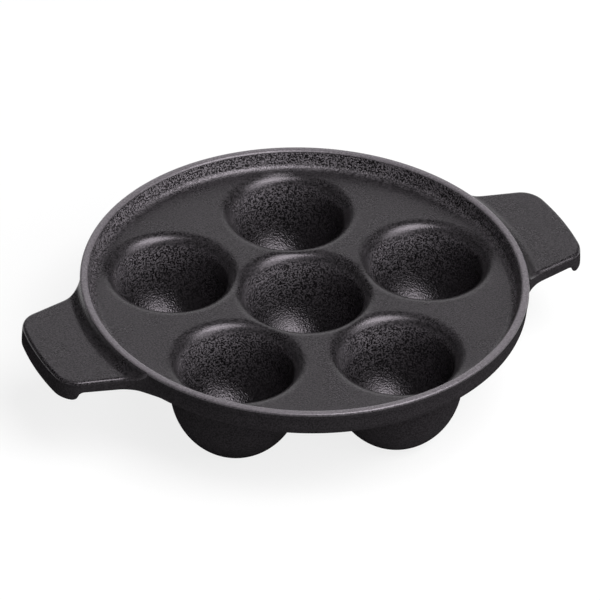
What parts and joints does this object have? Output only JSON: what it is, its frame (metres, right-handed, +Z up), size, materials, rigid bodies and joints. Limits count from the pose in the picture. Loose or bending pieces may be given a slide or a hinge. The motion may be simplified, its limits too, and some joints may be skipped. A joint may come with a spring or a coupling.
{
  "type": "escargot dish",
  "caption": "Round black enamelled cast-iron snail dish with deep round-bottomed cups set in a sunken deck, a raised rim wall and flat lug handles.",
  "frame": {"origin": "on the surface that the cup feet stand on, under the middle of the dish", "axes": "+Z up along the dish's axis, +X along the two handles towards the one that has a cup beside it"},
  "size_m": [0.1814, 0.14, 0.0357],
  "materials": {
    "deck_enamel": "matte black enamel with a fine grain",
    "rim_enamel": "matte black enamel, worn grey on the ground land",
    "cup_enamel": "coarse-grained black enamel with a soft sparkle",
    "handle_enamel": "matte black enamel with a fine grain"
  },
  "bodies": {
    "root": {"deck": "deck_enamel", "rim_wall": "rim_enamel", "cup_middle": "cup_enamel", "cup_right": "cup_enamel", "cup_back": "cup_enamel", "cup_left": "cup_enamel", "cup_front_left": "cup_enamel", "cup_front_right": "cup_enamel", "handle_right": "handle_enamel", "handle_left": "handle_enamel"}
  },
  "joints": []
}
